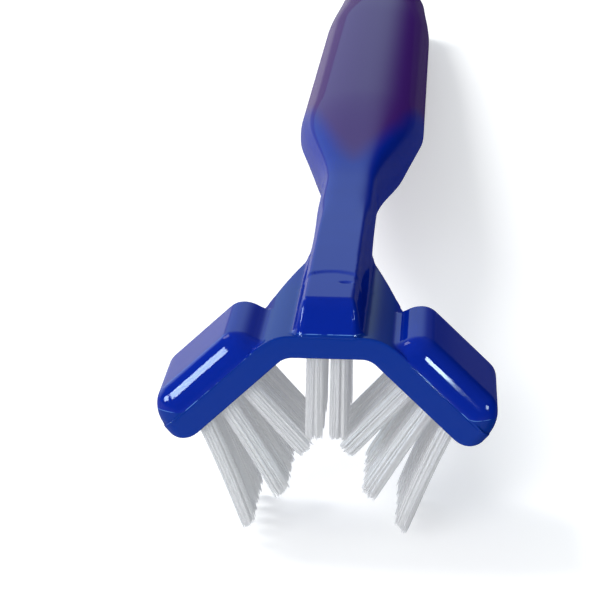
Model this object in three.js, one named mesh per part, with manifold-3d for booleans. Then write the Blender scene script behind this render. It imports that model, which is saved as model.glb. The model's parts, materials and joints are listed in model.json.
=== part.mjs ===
// Three-sided toothbrush: a moulded body, three fields of nylon tufts and the metal anchors that hold them.
// Millimetres, +Z up. The head's nose faces -Y, the handle runs towards +Y and the bristles point down.

import * as THREE from 'three';
import { mergeGeometries, mergeVertices } from 'three/addons/utils/BufferGeometryUtils.js';
import Module from 'manifold-3d';

const wasm = await Module();
wasm.setup();

const QUARTER_TURN = Math.PI / 2;

// Head plate: a strip bent into a crown and two wings, measured on the bristle side
const CROWN_WIDTH = 6.5;
const WING_ANGLE = THREE.MathUtils.degToRad(43);
const WING_LENGTH = 10.65;
const PLATE_THICKNESS = 2;
const BEND_RADIUS = 1.6;
const TIP_RADIUS = 1.85;
const HEAD_LENGTH = 12.8;
const HEAD_CORNER = 0.6;

// Pads on the back of the wings, and the spine along the crown
const MOULD_LEDGE = 0.15;
const PAD_START = 0.8;
const PAD_THICKNESS = 4.3;
const PAD_ROUND = 1.5;
const PAD_CORNER = 1.8;
const SPINE_WIDTH = 5.6;
const SPINE_HEIGHT = 4.6;
const SPINE_END = 18;
const SPINE_DRAFT_WIDTH = 0.7;
const SPINE_ROUND = 0.45;
const SPINE_CORNER = 1.3;
const CORNER_STEPS = 3;
const ROUND_STEPS = 4;

// Webs that narrow from the head to the neck
const WEB_WIDTH = 10.6;
const WEB_FILLET = 1.8;
const WEB_END = 28;

// Neck and handle
const BRUSH_LENGTH = 185;
const NECK_START = 9.6;
const NECK_WIDTH = 5.4;
const NECK_PINCH = 0.9;
const NECK_THICKNESS = 4.9;
const NECK_STEP = 0.12;
const NECK_SQUARENESS = 3.6;
const SHOULDER_START = 50;
const SHOULDER_END = 88;
const GRIP_WIDTH = 12.7;
const GRIP_THICKNESS = 9;
const GRIP_RISE = 1.9;
const GRIP_SQUARENESS = 2.6;
const TAIL_START = 150;
const TAIL_TAPER = 0.14;
const TAIL_ROUND = 7;
const HANDLE_SIDES = 32;
const HANDLE_STEPS = 30;
const TAIL_STEPS = 6;

// Tufts: rows run along the head, columns across each facet
const ROWS = 5;
const ROW_PITCH = 2.4;
const TUFT_WIDTH = 1.45;
const TUFT_GAP = 0.12;
const TUFT_SPLAY = 1.12;
const CROWN_COLUMN_DISTANCE = 0.92;
// The outer wing column lies in from the wing's end, and the others a pitch further in each.
const COLUMN_MARGIN = 2.75;
const COLUMN_PITCH = 2;
// Each wing column's tip: its distance from the middle of the brush, and its drop below the crown
const INNER_TIP_DISTANCE = 1.35;
const INNER_TIP_DROP = 7.75;
const MIDDLE_TIP_DISTANCE = 3.1;
const MIDDLE_TIP_DROP = 11.2;
const OUTER_TIP_DISTANCE = 5.7;
const OUTER_TIP_DROP = 13.9;
const WING_TIPS = [
  { name: 'inner', tipOut: INNER_TIP_DISTANCE, tipDrop: INNER_TIP_DROP },
  { name: 'middle', tipOut: MIDDLE_TIP_DISTANCE, tipDrop: MIDDLE_TIP_DROP },
  { name: 'outer', tipOut: OUTER_TIP_DISTANCE, tipDrop: OUTER_TIP_DROP },
];
const WING_COLUMNS = WING_TIPS.map((tip, place) => {
  const pitches = WING_TIPS.length - 1 - place;
  return { ...tip, along: WING_LENGTH - COLUMN_MARGIN - pitches * COLUMN_PITCH };
});
const STRANDS_PER_TUFT = 10;
const STRAND_SIDES = 3;
const STRAND_RADIUS = 0.14;
const STRAND_TIP_RADIUS = 0.1;
const GOLDEN_ANGLE = Math.PI * (3 - Math.sqrt(5));

// Bristle beds: a slice set flush into the facet, with a root below each tuft in its blind hole
const SLICE_THICKNESS = 0.6;
const SLICE_MARGIN = 0.1;
const SEAT_CLEARANCE = 0.06;
const HOLE_WIDTH = 1.6;
const HOLE_DEPTH = 3;
const HOLE_SIDES = 8;

// Anchors: flat plates that bite the wall on both sides of a hole
const ANCHOR_WIDTH = 1.9;
const ANCHOR_HEIGHT = 1.4;
const ANCHOR_THICKNESS = 0.3;
const ANCHOR_CLEARANCE = 0.05;
const FOLD_THICKNESS = 0.45;

const bodyMaterial = new THREE.MeshStandardMaterial({ color: 0x14349a, roughness: 0.25, metalness: 0 });
const nylonMaterial = new THREE.MeshStandardMaterial({ color: 0xd3dbe4, roughness: 0.4, metalness: 0 });
const anchorMaterial = new THREE.MeshStandardMaterial({ color: 0xc8b98c, roughness: 0.35, metalness: 1 });

// Joining and cutting

function toSolid(geometry) {
  const bare = geometry.clone();
  bare.deleteAttribute('normal');
  bare.deleteAttribute('uv');
  const merged = mergeVertices(bare, 1e-5);
  return new wasm.Manifold(new wasm.Mesh({
    numProp: 3,
    vertProperties: new Float32Array(merged.attributes.position.array),
    triVerts: new Uint32Array(merged.index.array),
  }));
}

function toGeometry(solid) {
  const mesh = solid.getMesh();
  const geometry = new THREE.BufferGeometry();
  geometry.setAttribute('position', new THREE.BufferAttribute(mesh.vertProperties, 3));
  geometry.setIndex(new THREE.BufferAttribute(mesh.triVerts, 1));
  geometry.computeVertexNormals();
  return geometry;
}

function joined(solids) {
  return solids.reduce((whole, solid) => whole.add(solid));
}

function named(name, geometry, material) {
  const mesh = new THREE.Mesh(geometry, material);
  mesh.name = name;
  return mesh;
}

function boxBetween(low, high) {
  const size = high.clone().sub(low);
  const middle = low.clone().add(high).multiplyScalar(0.5);
  return new THREE.BoxGeometry(size.x, size.y, size.z).translate(middle.x, middle.y, middle.z);
}

// Facets: side -1 is the left wing, 0 the crown and 1 the right wing

const FACET_NAMES = new Map([[-1, 'left'], [0, 'crown'], [1, 'right']]);

function facetGroup(side) {
  const group = new THREE.Group();
  group.name = `${FACET_NAMES.get(side)}_facet`;
  group.position.x = side * CROWN_WIDTH / 2;
  group.rotation.y = side * WING_ANGLE;
  group.updateMatrixWorld();
  return group;
}

function facetColumns(side, facet) {
  if (side === 0) {
    const drop = crownDrop();
    return [-1, 1].map((half) => ({
      name: FACET_NAMES.get(half),
      foot: new THREE.Vector3(half * CROWN_COLUMN_DISTANCE, 0, 0),
      tip: new THREE.Vector3(half * CROWN_COLUMN_DISTANCE, 0, -drop),
    }));
  }
  return WING_COLUMNS.map(({ name, along, tipOut, tipDrop }) => ({
    name,
    foot: new THREE.Vector3(side * along, 0, 0),
    tip: facet.worldToLocal(new THREE.Vector3(side * tipOut, 0, -tipDrop)),
  }));
}

// The crown tufts are cut just above the inner wing tufts, which meet below them.
function crownDrop() {
  const inner = WING_COLUMNS[0];
  const foot = wingPoint(inner.along, 0);
  const tip = new THREE.Vector2(inner.tipOut, -inner.tipDrop);
  const run = tip.clone().sub(foot).normalize();
  const edge = CROWN_COLUMN_DISTANCE + TUFT_WIDTH / 2;
  const axisHeight = foot.y + (edge - foot.x) * run.y / run.x;
  const cover = (TUFT_WIDTH / 2 * TUFT_SPLAY + TUFT_GAP) / Math.abs(run.x);
  return -(axisHeight + cover);
}

// A point of the right wing's section: along the bristle face from the bend, and above that face.
function wingPoint(along, above) {
  const point = new THREE.Vector2(along, above).rotateAround(new THREE.Vector2(), -WING_ANGLE);
  return point.add(new THREE.Vector2(CROWN_WIDTH / 2, 0));
}

function rowPlace(row) {
  return HEAD_LENGTH / 2 + (row - (ROWS - 1) / 2) * ROW_PITCH;
}

// Head plate

function plateSection() {
  const tip = wingPoint(WING_LENGTH - TIP_RADIUS, TIP_RADIUS);
  const top = wingPoint(WING_LENGTH, PLATE_THICKNESS);
  const bendX = CROWN_WIDTH / 2 - BEND_RADIUS * Math.tan(WING_ANGLE / 2);
  const backRadius = BEND_RADIUS + PLATE_THICKNESS;
  const shape = new THREE.Shape();
  shape.absarc(tip.x, tip.y, TIP_RADIUS, -QUARTER_TURN - WING_ANGLE, -WING_ANGLE, false);
  shape.lineTo(top.x, top.y);
  shape.absarc(bendX, -BEND_RADIUS, backRadius, QUARTER_TURN - WING_ANGLE, QUARTER_TURN, false);
  shape.absarc(-bendX, -BEND_RADIUS, backRadius, QUARTER_TURN, QUARTER_TURN + WING_ANGLE, false);
  shape.lineTo(-top.x, top.y);
  shape.absarc(-tip.x, tip.y, TIP_RADIUS, Math.PI + WING_ANGLE, Math.PI + QUARTER_TURN + WING_ANGLE, false);
  shape.absarc(-bendX, -BEND_RADIUS, BEND_RADIUS, QUARTER_TURN + WING_ANGLE, QUARTER_TURN, true);
  shape.absarc(bendX, -BEND_RADIUS, BEND_RADIUS, QUARTER_TURN, QUARTER_TURN - WING_ANGLE, true);
  shape.closePath();
  return shape;
}

// The plate's outline from above: straight over the wings, then narrowing to the neck.
function plateOutline() {
  const half = CROWN_WIDTH / 2 + WING_LENGTH;
  const web = WEB_WIDTH / 2;
  const neck = NECK_WIDTH / 2;
  const filletEnd = new THREE.Vector2(neck - web, WEB_END - HEAD_LENGTH).setLength(WEB_FILLET);
  const shape = new THREE.Shape();
  shape.moveTo(-half, 0);
  shape.lineTo(half, 0);
  shape.lineTo(half, HEAD_LENGTH);
  shape.lineTo(web + WEB_FILLET, HEAD_LENGTH);
  shape.quadraticCurveTo(web, HEAD_LENGTH, web + filletEnd.x, HEAD_LENGTH + filletEnd.y);
  shape.lineTo(neck, WEB_END);
  shape.lineTo(-neck, WEB_END);
  shape.lineTo(-web - filletEnd.x, HEAD_LENGTH + filletEnd.y);
  shape.quadraticCurveTo(-web, HEAD_LENGTH, -web - WEB_FILLET, HEAD_LENGTH);
  shape.lineTo(-half, HEAD_LENGTH);
  shape.closePath();
  return shape;
}

function prism(shape, depth) {
  return new THREE.ExtrudeGeometry(shape, { depth, bevelEnabled: false, curveSegments: 3 });
}

// A prism that runs through the whole head.
function throughHead(shape) {
  const reach = CROWN_WIDTH + WING_LENGTH;
  return prism(shape, 2 * reach).translate(0, 0, -reach);
}

function headPlate() {
  const strip = prism(plateSection(), WEB_END);
  strip.rotateX(QUARTER_TURN).translate(0, WEB_END, 0);
  return toSolid(strip).intersect(toSolid(throughHead(plateOutline())));
}

// What the round corners leave out at the end of a wing.
function cornerCut(side, facet) {
  const inner = WING_LENGTH - HEAD_CORNER;
  const outer = WING_LENGTH + HEAD_CORNER;
  const shape = new THREE.Shape();
  shape.moveTo(inner, -HEAD_CORNER);
  shape.lineTo(outer, -HEAD_CORNER);
  shape.lineTo(outer, HEAD_LENGTH + HEAD_CORNER);
  shape.lineTo(inner, HEAD_LENGTH + HEAD_CORNER);
  shape.absarc(inner, HEAD_LENGTH - HEAD_CORNER, HEAD_CORNER, QUARTER_TURN, 0, true);
  shape.absarc(inner, HEAD_CORNER, HEAD_CORNER, 0, -QUARTER_TURN, true);
  shape.closePath();
  const cut = throughHead(shape);
  if (side < 0) {
    cut.rotateZ(Math.PI).translate(0, HEAD_LENGTH, 0);
  }
  return toSolid(cut.applyMatrix4(facet.matrixWorld));
}

// A solid through a row of rings that have as many points each, closed at both ends.
function loft(rings, first, last) {
  const sides = rings[0].length;
  const points = [...rings.flat(), first, last];
  const faces = [];
  const end = (rings.length - 1) * sides;
  for (let k = 0; k < sides; k += 1) {
    const next = (k + 1) % sides;
    for (let here = 0; here < end; here += sides) {
      const ahead = here + sides;
      faces.push(here + k, ahead + k, here + next);
      faces.push(here + next, ahead + k, ahead + next);
    }
    faces.push(end + sides, k, next);
    faces.push(end + sides + 1, end + next, end + k);
  }
  const geometry = new THREE.BufferGeometry().setFromPoints(points);
  geometry.setIndex(faces);
  return toSolid(geometry);
}

// A level ring with round corners, clockwise from above.
function cornerRing(x0, x1, y0, y1, corner, z) {
  const [left, right] = [x0 + corner, x1 - corner];
  const [front, rear] = [y0 + corner, y1 - corner];
  const centres = [[right, front], [left, front], [left, rear], [right, rear]];
  const ring = [];
  centres.forEach(([x, y], quarter) => {
    for (let step = 0; step <= CORNER_STEPS; step += 1) {
      const angle = -QUARTER_TURN * (quarter + step / CORNER_STEPS);
      ring.push(new THREE.Vector3(x + corner * Math.cos(angle), y + corner * Math.sin(angle), z));
    }
  });
  return ring;
}

// A block on the middle of the plate: its walls lean in by the draft and turn over into a round top.
function crestBlock(x0, x1, y0, y1, height, { corner, draft, round, roundHeight }) {
  const levels = [{ inset: 0, z: PLATE_THICKNESS / 2 }, { inset: 0, z: PLATE_THICKNESS + MOULD_LEDGE }];
  for (let step = draft > 0 ? 0 : 1; step <= ROUND_STEPS; step += 1) {
    const angle = QUARTER_TURN * step / ROUND_STEPS;
    levels.push({
      inset: draft + round * (1 - Math.cos(angle)),
      z: height - roundHeight * (1 - Math.sin(angle)),
    });
  }
  const rings = levels.map(({ inset, z }) => (
    cornerRing(x0 + inset, x1 - inset, y0 + inset, y1 - inset, corner - inset, z)
  ));
  const middle = new THREE.Vector3((x0 + x1) / 2, (y0 + y1) / 2, 0);
  return loft(rings, middle.clone().setZ(levels[0].z), middle.clone().setZ(height));
}

function wingPad(side, facet) {
  const ends = [side * PAD_START, side * (WING_LENGTH - MOULD_LEDGE)].sort((a, b) => a - b);
  const rear = HEAD_LENGTH - MOULD_LEDGE;
  const pad = crestBlock(ends[0], ends[1], MOULD_LEDGE, rear, PAD_THICKNESS, {
    corner: PAD_CORNER,
    draft: 0,
    round: PAD_ROUND,
    roundHeight: PAD_THICKNESS - PLATE_THICKNESS - MOULD_LEDGE,
  });
  return toSolid(toGeometry(pad).applyMatrix4(facet.matrixWorld));
}

function spine() {
  return crestBlock(-SPINE_WIDTH / 2, SPINE_WIDTH / 2, MOULD_LEDGE, SPINE_END, SPINE_HEIGHT, {
    corner: SPINE_CORNER,
    draft: SPINE_DRAFT_WIDTH,
    round: SPINE_ROUND,
    roundHeight: SPINE_ROUND,
  });
}

// Neck and handle: one loft of rounded sections

function handleSection(y) {
  const swell = THREE.MathUtils.smoothstep(y, SHOULDER_START, SHOULDER_END);
  const taper = 1 - TAIL_TAPER * THREE.MathUtils.smoothstep(y, TAIL_START, BRUSH_LENGTH);
  const intoTail = Math.max(0, y - (BRUSH_LENGTH - TAIL_ROUND)) / TAIL_ROUND;
  const close = taper * Math.sqrt(1 - intoTail * intoTail);
  const neckMiddle = SPINE_HEIGHT + NECK_STEP - NECK_THICKNESS / 2;
  const opening = THREE.MathUtils.smoothstep(y, NECK_START, WEB_END);
  const neckWidth = NECK_WIDTH * THREE.MathUtils.lerp(NECK_PINCH, 1, opening);
  return {
    y,
    halfWidth: close * THREE.MathUtils.lerp(neckWidth, GRIP_WIDTH, swell) / 2,
    halfHeight: close * THREE.MathUtils.lerp(NECK_THICKNESS, GRIP_THICKNESS, swell) / 2,
    middle: THREE.MathUtils.lerp(neckMiddle, GRIP_RISE, swell),
    power: 2 / THREE.MathUtils.lerp(NECK_SQUARENESS, GRIP_SQUARENESS, swell),
  };
}

function handleStations() {
  const tailEnd = BRUSH_LENGTH - TAIL_ROUND;
  const places = [];
  for (let step = 0; step <= HANDLE_STEPS; step += 1) {
    places.push(THREE.MathUtils.lerp(NECK_START, tailEnd, step / HANDLE_STEPS));
  }
  for (let step = 1; step <= TAIL_STEPS; step += 1) {
    places.push(tailEnd + TAIL_ROUND * Math.sin(QUARTER_TURN * 0.97 * step / TAIL_STEPS));
  }
  return places.map(handleSection);
}

function rounded(value, power) {
  return Math.sign(value) * Math.abs(value) ** power;
}

function handleLoft() {
  const stations = handleStations();
  const rings = stations.map(({ y, halfWidth, halfHeight, middle, power }) => {
    const ring = [];
    for (let k = 0; k < HANDLE_SIDES; k += 1) {
      const angle = 2 * Math.PI * (k + 0.5) / HANDLE_SIDES;
      const x = halfWidth * rounded(Math.cos(angle), power);
      ring.push(new THREE.Vector3(x, y, middle + halfHeight * rounded(Math.sin(angle), power)));
    }
    return ring;
  });
  const front = new THREE.Vector3(0, stations[0].y, stations[0].middle);
  const back = new THREE.Vector3(0, BRUSH_LENGTH, stations[stations.length - 1].middle);
  return loft(rings, front, back);
}

// Bristle beds, holes and anchors of one facet

function bedBox(columns, grow, depth) {
  const margin = TUFT_WIDTH / 2 + SLICE_MARGIN + grow;
  const across = columns.map(({ foot }) => foot.x);
  return boxBetween(
    new THREE.Vector3(Math.min(...across) - margin, rowPlace(0) - margin, grow > 0 ? -PLATE_THICKNESS : 0),
    new THREE.Vector3(Math.max(...across) + margin, rowPlace(ROWS - 1) + margin, depth),
  );
}

function rootPeg(foot, y, width, from, to) {
  const peg = new THREE.CylinderGeometry(width / 2, width / 2, to - from, HOLE_SIDES);
  return peg.rotateX(QUARTER_TURN).translate(foot.x, y, (from + to) / 2);
}

function anchorPlace(foot, y) {
  return new THREE.Vector3(foot.x, y, HOLE_DEPTH - FOLD_THICKNESS - ANCHOR_HEIGHT / 2);
}

function anchorCut(foot, y) {
  const spread = 2 * ANCHOR_CLEARANCE;
  const size = [ANCHOR_THICKNESS + spread, ANCHOR_WIDTH + spread, ANCHOR_HEIGHT + spread];
  const place = anchorPlace(foot, y);
  return new THREE.BoxGeometry(...size).translate(place.x, place.y, place.z);
}

function forEachTuft(columns, visit) {
  const made = [];
  for (const column of columns) {
    for (let row = 0; row < ROWS; row += 1) {
      made.push(visit(column, rowPlace(row), row));
    }
  }
  return made;
}

function facetCuts(columns) {
  const bed = toSolid(bedBox(columns, SEAT_CLEARANCE, SLICE_THICKNESS + SEAT_CLEARANCE));
  const holes = forEachTuft(columns, ({ foot }, y) => toSolid(rootPeg(foot, y, HOLE_WIDTH, 0, HOLE_DEPTH)));
  const bites = forEachTuft(columns, ({ foot }, y) => toSolid(anchorCut(foot, y)));
  return joined([bed, ...holes, ...bites]);
}

// One strand: a thin prism from inside the slice to the tuft's tip.
function strand(start, end) {
  const run = end.clone().sub(start);
  const thin = new THREE.CylinderGeometry(STRAND_TIP_RADIUS, STRAND_RADIUS, run.length(), STRAND_SIDES);
  const upright = new THREE.Vector3(0, 1, 0);
  const turn = new THREE.Quaternion().setFromUnitVectors(upright, run.clone().normalize());
  const middle = start.clone().addScaledVector(run, 0.5);
  return thin.applyQuaternion(turn).translate(middle.x, middle.y, middle.z);
}

function tuftStrands({ foot, tip }, y) {
  const reach = TUFT_WIDTH / 2 - STRAND_RADIUS;
  const strands = [];
  for (let k = 0; k < STRANDS_PER_TUFT; k += 1) {
    const radius = reach * Math.sqrt((k + 0.5) / STRANDS_PER_TUFT);
    const angle = k * GOLDEN_ANGLE;
    const offset = new THREE.Vector3(radius * Math.cos(angle), radius * Math.sin(angle), 0);
    const start = foot.clone().add(offset).add(new THREE.Vector3(0, y, 0));
    const end = tip.clone().addScaledVector(offset, TUFT_SPLAY).add(new THREE.Vector3(0, y, 0));
    const root = start.clone().sub(end).setLength(SLICE_THICKNESS / 2).add(start);
    strands.push(strand(root, end));
  }
  return strands;
}

function bristles(side, columns) {
  const slice = toSolid(bedBox(columns, 0, SLICE_THICKNESS));
  const rootWidth = HOLE_WIDTH - 2 * SEAT_CLEARANCE;
  const rootEnd = HOLE_DEPTH - SEAT_CLEARANCE;
  const roots = forEachTuft(columns, ({ foot }, y) => (
    toSolid(rootPeg(foot, y, rootWidth, SLICE_THICKNESS / 2, rootEnd))
  ));
  const slots = forEachTuft(columns, ({ foot }, y) => toSolid(anchorCut(foot, y)));
  const strands = toSolid(mergeGeometries(forEachTuft(columns, tuftStrands).flat()));
  const bed = joined([slice, ...roots]).subtract(joined(slots));
  return named(`${FACET_NAMES.get(side)}_bristles`, toGeometry(bed.add(strands)), nylonMaterial);
}

function anchors(side, columns) {
  return forEachTuft(columns, ({ name, foot }, y, row) => {
    const plate = new THREE.BoxGeometry(ANCHOR_THICKNESS, ANCHOR_WIDTH, ANCHOR_HEIGHT);
    const anchor = named(`anchor_${FACET_NAMES.get(side)}_${name}_${row + 1}`, plate, anchorMaterial);
    anchor.position.copy(anchorPlace(foot, y));
    return anchor;
  });
}

// Assembly

const brush = new THREE.Group();
brush.name = 'three_sided_toothbrush';

const bodyParts = [headPlate(), spine(), handleLoft()];
const bodyCuts = [];
for (const side of FACET_NAMES.keys()) {
  const facet = facetGroup(side);
  const columns = facetColumns(side, facet);
  if (side !== 0) {
    bodyParts.push(wingPad(side, facet));
    bodyCuts.push(cornerCut(side, facet));
  }
  bodyCuts.push(toSolid(toGeometry(facetCuts(columns)).applyMatrix4(facet.matrixWorld)));
  facet.add(bristles(side, columns), ...anchors(side, columns));
  brush.add(facet);
}
const body = joined(bodyParts).subtract(joined(bodyCuts));
brush.add(named('brush_body', toGeometry(body), bodyMaterial));

// At rest the brush lies on the tips of its rear outer tufts and on the underside of its tail.
const tail = handleSection(BRUSH_LENGTH - TAIL_ROUND);
const tailDrop = tail.middle - tail.halfHeight + OUTER_TIP_DROP;
brush.rotation.x = -Math.atan2(tailDrop, tail.y - rowPlace(ROWS - 1));

// The origin is below the middle of the brush, on the surface that it lies on.
const bounds = new THREE.Box3().setFromObject(brush, true);
const centre = bounds.getCenter(new THREE.Vector3());
brush.position.set(-centre.x, -centre.y, -bounds.min.z);

export default brush;
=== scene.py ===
import json
import math

import bmesh
import bpy
import numpy as np
from mathutils import Matrix, Vector


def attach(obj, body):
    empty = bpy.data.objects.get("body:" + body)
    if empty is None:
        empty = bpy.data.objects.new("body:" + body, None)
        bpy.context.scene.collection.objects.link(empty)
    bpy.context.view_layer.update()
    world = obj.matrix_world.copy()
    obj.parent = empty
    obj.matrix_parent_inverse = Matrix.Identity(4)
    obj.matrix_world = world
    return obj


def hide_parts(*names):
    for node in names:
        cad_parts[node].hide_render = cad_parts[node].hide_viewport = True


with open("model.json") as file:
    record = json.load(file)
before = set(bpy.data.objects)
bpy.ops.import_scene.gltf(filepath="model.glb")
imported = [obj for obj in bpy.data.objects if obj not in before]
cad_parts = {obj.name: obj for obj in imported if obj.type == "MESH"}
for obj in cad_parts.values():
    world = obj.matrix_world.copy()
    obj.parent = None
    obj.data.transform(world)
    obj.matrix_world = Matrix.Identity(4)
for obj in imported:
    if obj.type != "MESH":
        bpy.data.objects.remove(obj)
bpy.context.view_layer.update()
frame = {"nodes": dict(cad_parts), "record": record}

# The moulded body
# One shot of polypropylene: a handle, a neck and a head bent into a crown and two wings, with a raised pad
# on the back of each wing and a spine along the crown. The colour runs from blue to violet up the handle.

MM = 0.001

# The plate of the head, measured on its bristle face
CROWN_WIDTH = 6.5
WING_ANGLE = math.radians(43)
WING_LENGTH = 10.65
PLATE_THICKNESS = 2.0
CROWN_THINNING = 0.28
BEND_RADIUS = 1.6
TIP_RADIUS = 1.85
HEAD_LENGTH = 12.8
HEAD_CORNER = 1.0
EDGE_ROUND = 0.12

# The parting line, a fine groove near the top of the plate's edge
PARTING_DEPTH = 0.02
PARTING_WIDTH = 0.05
PARTING_HEIGHT = PLATE_THICKNESS - 2 * PARTING_WIDTH

# The pads and the spine: the widths of their round edges, and how full and how steep those rounds are
PAD_START = 0.8
PAD_RISE = 2.2
PAD_ROUND = 1.5
PAD_END_ROUND = 1.9
PAD_FULLNESS = 2.1
PAD_STEEPNESS = 1.6
SPINE_WIDTH = 5.1
SPINE_HEIGHT = 4.59
SPINE_ROUND = 1.05
SPINE_SIDE_ROUND = 0.78
SPINE_FULLNESS = 2.1
SPINE_STEEPNESS = 1.05
FILLET = 0.22
FILLET_FADE = 4 * FILLET
FILLET_TURNS = 8

# The webs that narrow from the head to the neck
WEB_WIDTH = 11.4
WEB_FILLET = 1.8
WEB_END = 28.0

# The neck, which starts with a small step that bows forward at its sides, and the handle
BRUSH_LENGTH = 185.0
NECK_START = 9.5
NECK_BOW = 0.9
NECK_BOW_PLACE = SPINE_WIDTH / 3
NECK_WIDTH = 5.1
NECK_THICKNESS = 4.9
NECK_STEP = 0.12
NECK_SQUARENESS = 3.8
NECK_BLEND = 12.0
SHOULDER_START = 49.0
SHOULDER_END = 88.0
GRIP_WIDTH = 12.7
GRIP_THICKNESS = 8.97
GRIP_RISE = 1.9
GRIP_SQUARENESS = 2.15
TAIL_START = 150.0
TAIL_TAPER = 0.14
TAIL_ROUND = 7.0

# Strip coordinates: along the bristle face from the middle of the crown, and above that face
BEND_TANGENT = BEND_RADIUS * math.tan(WING_ANGLE / 2)
CROWN_FLAT = CROWN_WIDTH / 2 - BEND_TANGENT
BEND_END = CROWN_FLAT + BEND_RADIUS * WING_ANGLE
WING_ZERO = BEND_END - BEND_TANGENT
WING_EDGE = WING_ZERO + WING_LENGTH

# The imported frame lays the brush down. The mount on the back of the solid grip gives its tilt and its place.
GRIP_PLACE = 120.0
SOLID_THICKNESS = 9.0
SOLID_SIDES = 32
SOLID_SQUARENESS = 2.6
mount = frame["record"]["mounts"][0]
grip_back = GRIP_RISE + SOLID_THICKNESS / 2 * math.cos(math.pi / SOLID_SIDES) ** (2 / SOLID_SQUARENESS)
tilt = math.atan2(mount["axis"][1], mount["axis"][2])
turn = Matrix.Rotation(-tilt, 3, "X")
shift = Vector(mount["pos_m"]) - turn @ (Vector((0, GRIP_PLACE, grip_back)) * MM)


def laid_down(points):
    """Points of the upright brush, in millimetres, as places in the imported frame, in metres."""
    return np.asarray(points) * MM @ np.array(turn).T + np.array(shift)


def smooth_step(value, start, end):
    """A smooth rise from 0 to 1 between two values."""
    share = np.clip((value - start) / (end - start), 0, 1)
    return share * share * (3 - 2 * share)


def bent(along, above, y):
    """Points of the head, from strip coordinates on the right half."""
    angle = np.clip((along - CROWN_FLAT) / BEND_RADIUS, 0, WING_ANGLE)
    beyond = np.maximum(along - BEND_END, 0)
    radius = BEND_RADIUS + above
    x = np.minimum(along, CROWN_FLAT) + radius * np.sin(angle) + beyond * np.cos(angle)
    z = radius * np.cos(angle) - BEND_RADIUS - beyond * np.sin(angle)
    return np.stack(np.broadcast_arrays(x, y, z), axis=-1)


def strip_place(x, above):
    """Where the strip, at a height above its face, lies a distance out from the middle of the brush."""
    radius = BEND_RADIUS + above
    turned = np.arcsin(np.clip((x - CROWN_FLAT) / radius, 0, math.sin(WING_ANGLE)))
    past_bend = np.maximum(x - CROWN_FLAT - radius * math.sin(WING_ANGLE), 0)
    return np.minimum(x, CROWN_FLAT) + BEND_RADIUS * turned + past_bend / math.cos(WING_ANGLE)


def edge_share(place, start, end, rounding):
    """How far out in a crest's rounded edge a place lies: 0 on its flat top, 1 at its foot."""
    return 1 - np.clip(np.minimum(place - start, end - place) / rounding, 0, 1)


def crest(first_share, second_share, fullness, steepness):
    """Share of a crest's rise where a place lies so far out in its edges, both ways."""
    out = np.minimum(np.hypot(first_share, second_share), 1)
    return (1 - out ** fullness) ** (1 / steepness)


def plain_back(along, y):
    """Height of the head's back above the bristle face: the plate, the pad and the spine."""
    plate = PLATE_THICKNESS - CROWN_THINNING * (1 - smooth_step(along, CROWN_FLAT, BEND_END + PAD_START))
    pad = PAD_RISE * crest(edge_share(along, WING_ZERO + PAD_START, WING_EDGE, PAD_END_ROUND),
                           edge_share(y, 0, HEAD_LENGTH, PAD_ROUND), PAD_FULLNESS, PAD_STEEPNESS)
    half = (SPINE_WIDTH + smooth_step(y, NECK_START, WEB_END) * (NECK_WIDTH - SPINE_WIDTH)) / 2
    spine = crest(edge_share(along, -half, half, SPINE_SIDE_ROUND),
                  edge_share(y, 0, BRUSH_LENGTH, SPINE_ROUND), SPINE_FULLNESS, SPINE_STEEPNESS)
    neck = smooth_step(y - NECK_START + NECK_BOW * (along / NECK_BOW_PLACE) ** 2, 0, NECK_STEP)
    spine = spine * (SPINE_HEIGHT - plate) + neck * NECK_STEP * (spine > 0)
    return plate + np.maximum(pad, spine)


def back_height(along, y):
    """The same height with a small fillet where the walls meet: its mean over a little disc."""
    radius = FILLET * smooth_step(np.minimum(y, WING_EDGE - along), 0, FILLET_FADE)
    angles = [2 * math.pi * k / FILLET_TURNS for k in range(FILLET_TURNS)]
    ring = sum(plain_back(along + radius * math.cos(a), y + radius * math.sin(a)) for a in angles)
    return (plain_back(along, y) + ring) / (1 + FILLET_TURNS)


def face_height(along):
    """Height of the bristle face, which turns up round the wing's tip."""
    into = np.maximum(along - WING_EDGE + TIP_RADIUS, 0)
    return TIP_RADIUS - np.sqrt(np.maximum(TIP_RADIUS ** 2 - into ** 2, 0))


EVEN_SHARE = 0.3


def packed_steps(count):
    """Shares from 0 to 1 that crowd together towards both ends."""
    even = np.linspace(0, 1, count + 1)
    return EVEN_SHARE * even + (1 - EVEN_SHARE) / 2 * (1 - np.cos(math.pi * even))


CORE_STEPS = 50
WING_STEPS = 60
LENGTH_STEPS = 90
WEB_STEPS = 26
ROUND_STEPS = 3
across_core = np.linspace(0, 1, CORE_STEPS + 1)
across_wing = packed_steps(WING_STEPS)
lengthwise = packed_steps(LENGTH_STEPS)
web_stations = np.linspace(HEAD_LENGTH + WEB_FILLET, WEB_END, WEB_STEPS + 1)
web_widths = np.interp(web_stations, (HEAD_LENGTH, WEB_END), (WEB_WIDTH / 2, NECK_WIDTH / 2))


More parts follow.
